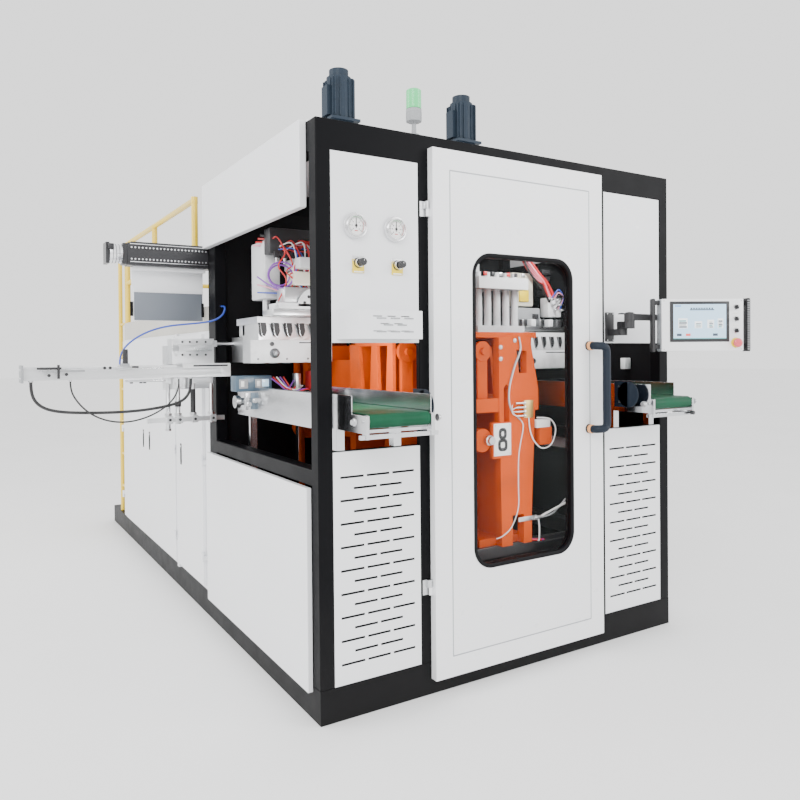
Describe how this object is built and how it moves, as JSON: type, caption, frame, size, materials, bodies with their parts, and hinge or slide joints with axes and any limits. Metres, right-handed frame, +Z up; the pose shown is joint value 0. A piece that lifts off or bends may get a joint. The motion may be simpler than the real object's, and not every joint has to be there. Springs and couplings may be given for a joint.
{
  "type": "blow moulding machine",
  "caption": "Enclosed double-station extrusion blow moulding machine with a glazed front door, outlet belts, a take-out arm, an operator panel and rear cabinets under a railed platform.",
  "frame": {"origin": "centre of the four anchor holes, at floor level", "axes": "+Z up, +Y from the door to the rear cabinets, +X to the right seen from the door"},
  "size_m": [3.3478, 5.0915, 3.286],
  "materials": {
    "black_frame": "satin",
    "white_sheet": "satin",
    "screen_sheet": "satin",
    "gasket": "matt",
    "window": "clear",
    "handle": "satin",
    "steel": "brushed",
    "air_parts": "polished",
    "needle": "matt",
    "dark_plastic": "matt",
    "panel_case": "satin",
    "stop_red": "gloss",
    "belt_green": "satin",
    "orange": "satin",
    "motor_grey": "satin",
    "extruder_grey": "satin",
    "aluminium": "satin",
    "axis_black": "satin",
    "side_plates": "satin",
    "deck": "satin",
    "yellow": "gloss",
    "beacon": "gloss",
    "hose_blue": "gloss"
  },
  "bodies": {
    "frame": {"base_frame": "black_frame", "main_frame": "black_frame", "roof_plate": "white_sheet", "inner_screens": "screen_sheet", "upper_panels": "white_sheet", "vent_panels": "white_sheet", "outlet_hood": "white_sheet", "side_covers": "white_sheet", "side_panels": "white_sheet", "door_hinges": "steel", "air_fittings": "air_parts", "hmi_mount": "dark_plastic", "conveyor_belts": "belt_green", "conveyor_frames": "steel", "clamp_rails": "steel", "blow_drives": "motor_grey", "die_head": "steel", "extruder": "extruder_grey", "neck_mask_right": "aluminium", "takeout_beam": "aluminium", "axis_housing": "axis_black", "cabinet_shell": "white_sheet", "platform_deck": "deck", "railing": "yellow", "beacon": "beacon", "power_cable": "gasket", "sensor_cable": "gasket", "air_hose": "hose_blue"},
    "door": {"door_leaf": "white_sheet", "door_seal": "gasket", "door_window": "window", "door_handle": "handle"},
    "service_leaf": {"service_door": "white_sheet"},
    "front_leaf": {"cabinet_door_front": "white_sheet"},
    "rear_leaf": {"cabinet_door_rear": "white_sheet"},
    "needle_left": {"gauge_needle_left": "needle"},
    "needle_right": {"gauge_needle_right": "needle"},
    "knob_left": {"regulator_knob_left": "dark_plastic"},
    "knob_right": {"regulator_knob_right": "dark_plastic"},
    "panel_arm_inner": {"hmi_arm_inner": "dark_plastic"},
    "panel_arm_outer": {"hmi_arm_outer": "dark_plastic"},
    "panel": {"hmi_box": "panel_case"},
    "switch_upper": {"hmi_switch_1": "dark_plastic"},
    "switch_middle": {"hmi_switch_2": "dark_plastic"},
    "switch_lower": {"hmi_switch_3": "dark_plastic"},
    "stop_button": {"hmi_stop_button": "stop_red"},
    "roller_left": {"conveyor_roller_left": "steel"},
    "roller_right": {"conveyor_roller_right": "steel"},
    "clamp_a": {"clamp_carriage_a": "steel"},
    "clamp_b": {"clamp_carriage_b": "steel"},
    "front_half_a": {"front_platen_a": "orange"},
    "rear_half_a": {"rear_platen_a": "orange"},
    "front_half_b": {"front_platen_b": "orange"},
    "rear_half_b": {"rear_platen_b": "orange"},
    "pins_left": {"blow_carriage_left": "steel"},
    "pins_right": {"blow_carriage_right": "steel"},
    "transfer": {"takeout_carriage": "steel", "neck_mask_left": "aluminium"},
    "side_plates": {"hanging_plates": "side_plates"},
    "screw": {"extruder_screw": "steel"}
  },
  "joints": [
    {"name": "door_swing", "type": "hinge", "parent": "frame", "child": "door", "pos_m": [-0.568, -2.309, 1.3], "axis": [0, 0, -1], "range_deg": [0, 95]},
    {"name": "service_door_swing", "type": "hinge", "parent": "frame", "child": "service_leaf", "pos_m": [-1.1583, -0.707, 0.95], "axis": [0, 0, 1], "range_deg": [0, 100]},
    {"name": "cabinet_front_swing", "type": "hinge", "parent": "frame", "child": "front_leaf", "pos_m": [-1.1583, -0.075, 0.95], "axis": [0, 0, 1], "range_deg": [0, 100]},
    {"name": "cabinet_rear_swing", "type": "hinge", "parent": "frame", "child": "rear_leaf", "pos_m": [-1.1583, 1.692, 0.95], "axis": [0, 0, -1], "range_deg": [0, 100]},
    {"name": "gauge_left_needle", "type": "hinge", "parent": "frame", "child": "needle_left", "pos_m": [-0.945, -2.31, 2.15], "axis": [0, 1, 0], "range_deg": [-135, 135]},
    {"name": "gauge_right_needle", "type": "hinge", "parent": "frame", "child": "needle_right", "pos_m": [-0.74, -2.31, 2.15], "axis": [0, 1, 0], "range_deg": [-135, 135]},
    {"name": "regulator_left_turn", "type": "hinge", "parent": "frame", "child": "knob_left", "pos_m": [-0.929, -2.33, 1.99], "axis": [0, 1, 0], "continuous": true},
    {"name": "regulator_right_turn", "type": "hinge", "parent": "frame", "child": "knob_right", "pos_m": [-0.728, -2.33, 1.99], "axis": [0, 1, 0], "continuous": true},
    {"name": "panel_shoulder", "type": "hinge", "parent": "frame", "child": "panel_arm_inner", "pos_m": [0.66, -2.37, 1.735], "axis": [0, 0, -1], "range_deg": [0, 45]},
    {"name": "panel_elbow", "type": "hinge", "parent": "panel_arm_inner", "child": "panel_arm_outer", "pos_m": [0.63, -2.445, 1.765], "axis": [0, 0, -1], "range_deg": [0, 60]},
    {"name": "panel_swivel", "type": "hinge", "parent": "panel_arm_outer", "child": "panel", "pos_m": [0.93, -2.465, 1.775], "axis": [0, 0, 1], "range_deg": [-5, 45]},
    {"name": "switch_upper_turn", "type": "hinge", "parent": "panel", "child": "switch_upper", "pos_m": [1.0906, -2.75086, 1.822], "axis": [-0.4695, -0.8829, 0], "range_deg": [-45, 45]},
    {"name": "switch_middle_turn", "type": "hinge", "parent": "panel", "child": "switch_middle", "pos_m": [1.0906, -2.75086, 1.76], "axis": [-0.4695, -0.8829, 0], "range_deg": [-45, 45]},
    {"name": "switch_lower_turn", "type": "hinge", "parent": "panel", "child": "switch_lower", "pos_m": [1.0906, -2.75086, 1.698], "axis": [-0.4695, -0.8829, 0], "range_deg": [-45, 45]},
    {"name": "stop_press", "type": "slide", "parent": "panel", "child": "stop_button", "axis": [0.4695, 0.8829, 0], "range_m": [0, 0.004], "stiffness_N_per_m": 800, "springref_m": -0.004},
    {"name": "roller_left_spin", "type": "hinge", "parent": "frame", "child": "roller_left", "pos_m": [-0.866, -2.51, 1.315], "axis": [1, 0, 0], "continuous": true},
    {"name": "roller_right_spin", "type": "hinge", "parent": "frame", "child": "roller_right", "pos_m": [0.866, -2.51, 1.315], "axis": [1, 0, 0], "continuous": true},
    {"name": "clamp_a_shuttle", "type": "slide", "parent": "frame", "child": "clamp_a", "axis": [1, 0, 0], "range_m": [0, 0.455]},
    {"name": "clamp_b_shuttle", "type": "slide", "parent": "frame", "child": "clamp_b", "axis": [1, 0, 0], "range_m": [0, 0.455]},
    {"name": "clamp_a_open_front", "type": "slide", "parent": "clamp_a", "child": "front_half_a", "axis": [0, -1, 0], "range_m": [0, 0.06]},
    {"name": "clamp_a_open_rear", "type": "slide", "parent": "clamp_a", "child": "rear_half_a", "axis": [0, 1, 0], "range_m": [0, 0.06]},
    {"name": "clamp_b_open_front", "type": "slide", "parent": "clamp_b", "child": "front_half_b", "axis": [0, -1, 0], "range_m": [0, 0.06]},
    {"name": "clamp_b_open_rear", "type": "slide", "parent": "clamp_b", "child": "rear_half_b", "axis": [0, 1, 0], "range_m": [0, 0.06]},
    {"name": "blow_pins_left_down", "type": "slide", "parent": "frame", "child": "pins_left", "axis": [0, 0, -1], "range_m": [0, 0.1]},
    {"name": "blow_pins_right_down", "type": "slide", "parent": "frame", "child": "pins_right", "axis": [0, 0, -1], "range_m": [0, 0.1]},
    {"name": "transfer_out", "type": "slide", "parent": "frame", "child": "transfer", "axis": [-1, 0, 0], "range_m": [0, 0.5]},
    {"name": "side_plates_out", "type": "slide", "parent": "frame", "child": "side_plates", "axis": [-1, 0, 0], "range_m": [0, 0.15]},
    {"name": "screw_spin", "type": "hinge", "parent": "frame", "child": "screw", "pos_m": [0, -0.4, 2.07], "axis": [0, 1, 0], "continuous": true}
  ],
  "couplings": [
    {"joint": "clamp_b_shuttle", "follows": "clamp_a_shuttle", "ratio": 1},
    {"joint": "clamp_a_open_rear", "follows": "clamp_a_open_front", "ratio": 1},
    {"joint": "clamp_b_open_rear", "follows": "clamp_b_open_front", "ratio": 1}
  ]
}
